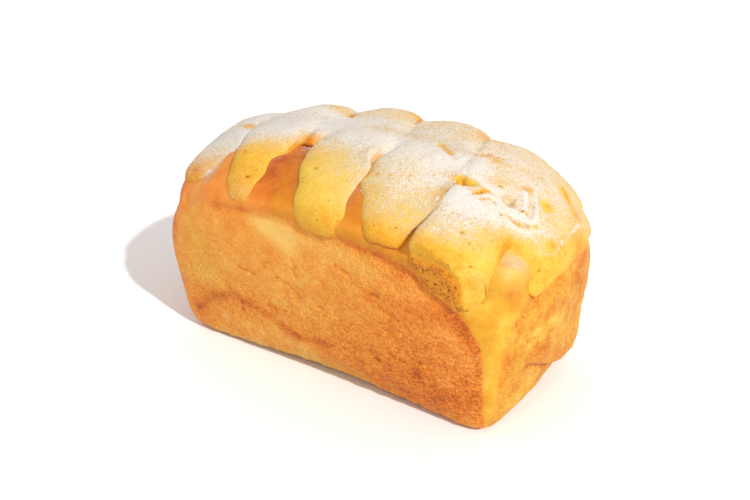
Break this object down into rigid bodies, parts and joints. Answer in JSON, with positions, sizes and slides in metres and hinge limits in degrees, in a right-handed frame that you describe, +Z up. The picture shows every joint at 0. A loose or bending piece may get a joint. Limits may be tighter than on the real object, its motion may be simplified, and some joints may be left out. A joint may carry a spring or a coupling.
{
  "type": "tin loaf with piped sponge topping",
  "caption": "Tall tin-baked loaf with flared sides and a domed top, crossed from side to side by thick yellow piped sponge stripes dusted with icing sugar.",
  "frame": {"origin": "on the surface the loaf stands on, under the middle of its bounding box", "axes": "+X along the loaf, towards the end with the widest corner stripe; -Y out of the front long side; +Z up"},
  "size_m": [0.2122, 0.13, 0.1199],
  "materials": {
    "bread_crust": "soft golden brown tin-side crust with fine pits and wrinkles, paler below the rim, deeper brown above it",
    "sponge_topping": "matte yellow baked sponge with small burst bubbles, dusted with white icing sugar along the crest"
  },
  "bodies": {
    "root": {"bread": "bread_crust", "topping": "sponge_topping"}
  },
  "joints": []
}
